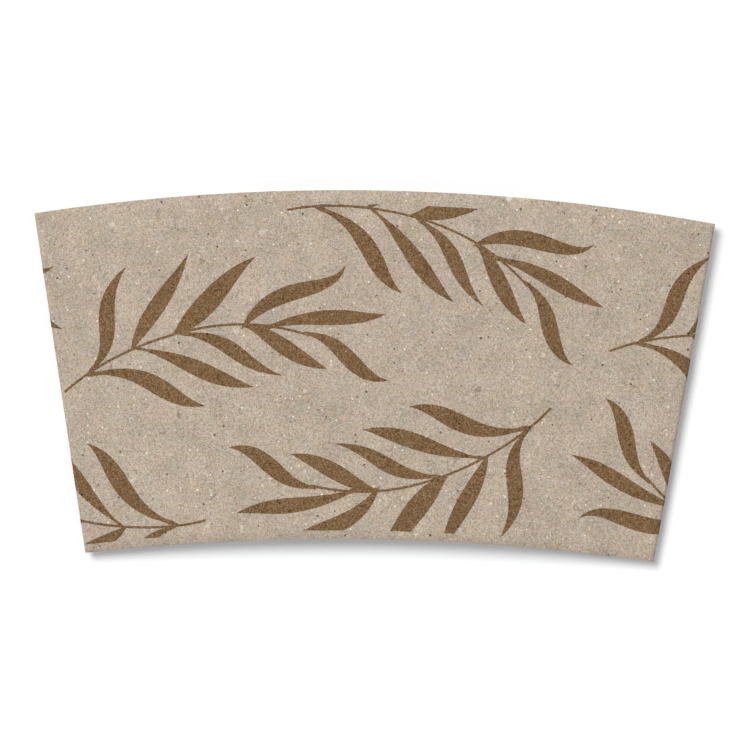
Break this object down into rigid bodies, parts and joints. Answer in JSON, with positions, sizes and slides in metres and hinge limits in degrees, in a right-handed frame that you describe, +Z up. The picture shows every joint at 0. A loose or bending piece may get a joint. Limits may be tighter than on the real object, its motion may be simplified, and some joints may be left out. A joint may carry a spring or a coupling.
{
  "type": "coffee cup sleeve",
  "caption": "Takeaway coffee cup sleeve of recycled board, folded flat: two fan-shaped panels between side folds, a glued lap down the back and a leaf print outside.",
  "frame": {"origin": "bottom centre of the bounding box, on the surface that the sleeve lies on, under the middle of the panels", "axes": "+X across the panels from side fold to side fold, +Y from the narrow base edge to the wide rim edge, +Z up through the front panel"},
  "size_m": [0.1302, 0.07, 0.0069],
  "materials": {
    "board": "uncoated recycled board, matt"
  },
  "bodies": {
    "root": {"sleeve": "board"}
  },
  "joints": []
}
